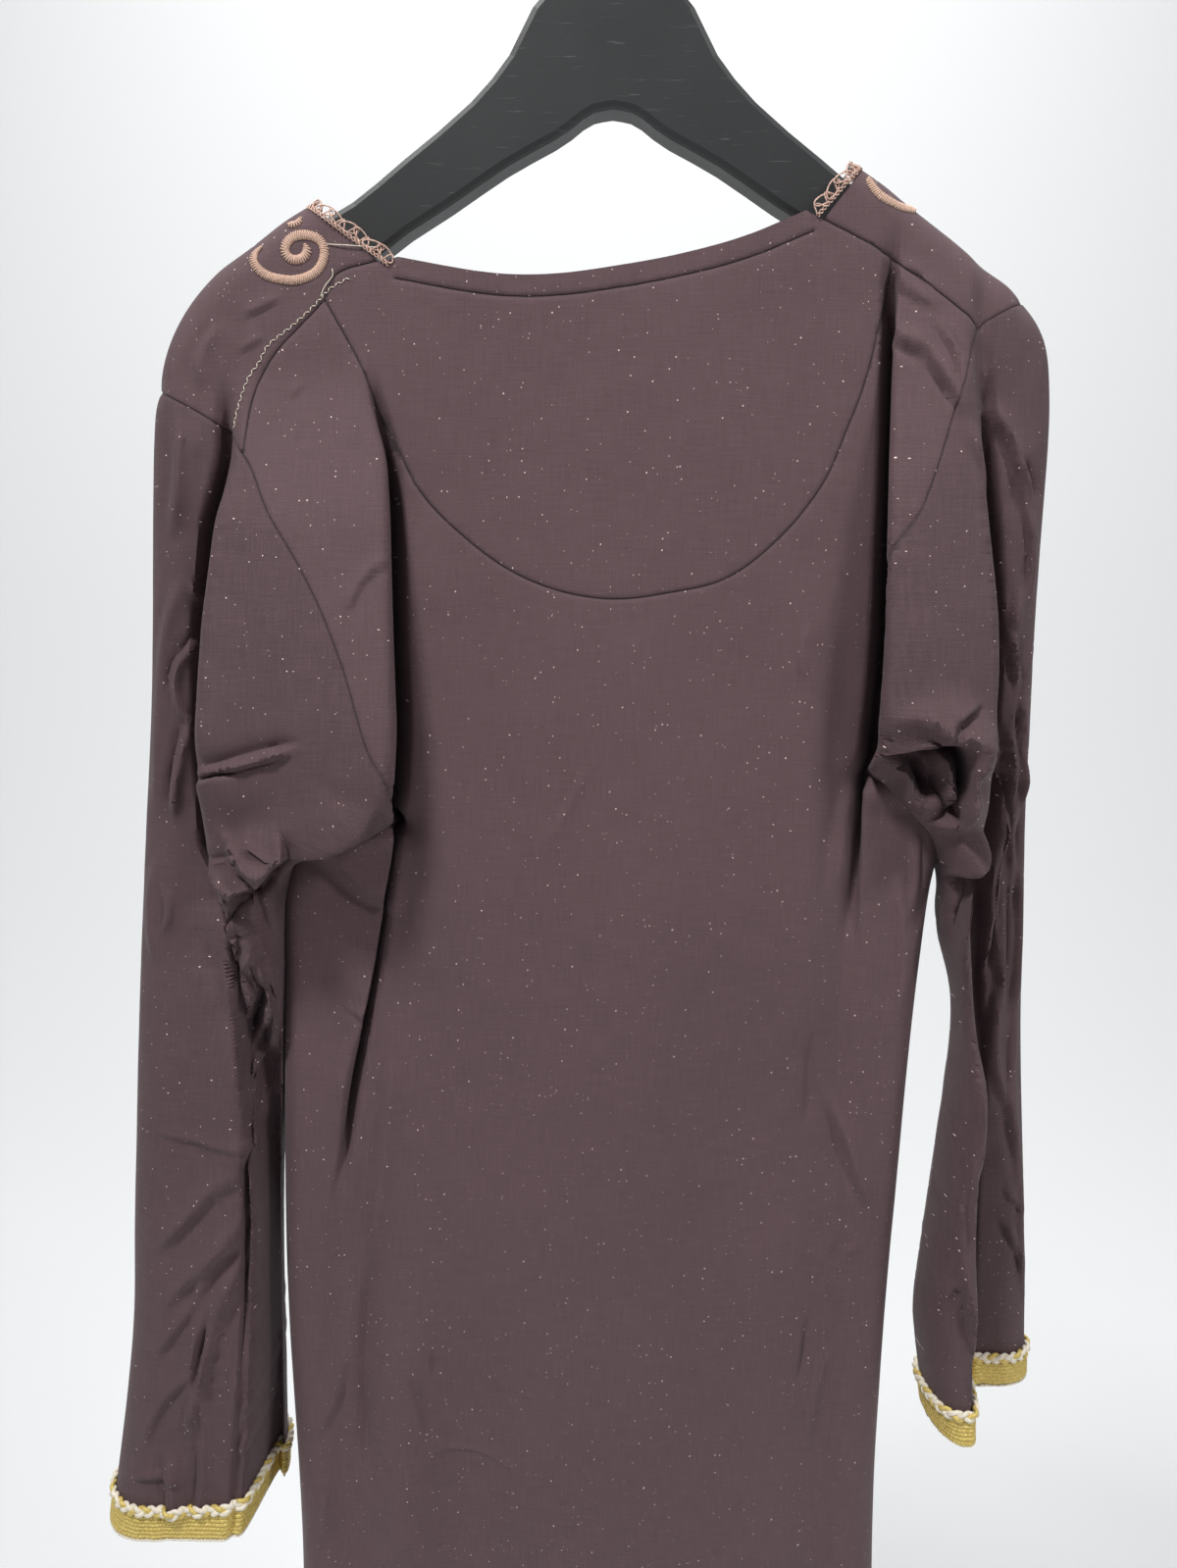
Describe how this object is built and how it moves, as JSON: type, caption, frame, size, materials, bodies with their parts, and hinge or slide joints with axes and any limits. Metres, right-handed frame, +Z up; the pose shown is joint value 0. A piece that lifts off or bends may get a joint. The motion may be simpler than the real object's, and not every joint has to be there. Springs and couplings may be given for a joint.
{
  "type": "kaftan on a hanger",
  "caption": "Long-sleeved ankle-length kaftan hanging from a shoulder hanger, shown from its back, with braided cuffs, lace neckline and curl embroidery on the shoulders.",
  "frame": {"origin": "inside top of the hanger's hook, where it hangs on a rail", "axes": "+Z up; -Y towards the garment's back, which is the side on show; +X to the right of a viewer who looks at that back"},
  "size_m": [0.5241, 0.1001, 1.5081],
  "materials": {
    "cloth": "matt crepe weave with sparse glitter specks",
    "lace": "rose-gold chain lace",
    "braid": "gold and ivory metallic braid",
    "hanger_plastic": "satin"
  },
  "bodies": {
    "root": {"back": "cloth", "back_yoke": "cloth", "neck_binding": "cloth", "front": "cloth", "sleeve_left": "cloth", "sleeve_right": "cloth", "neck_lace": "lace", "cuff_braid_left": "braid", "cuff_braid_right": "braid", "hanger": "hanger_plastic"}
  },
  "joints": []
}
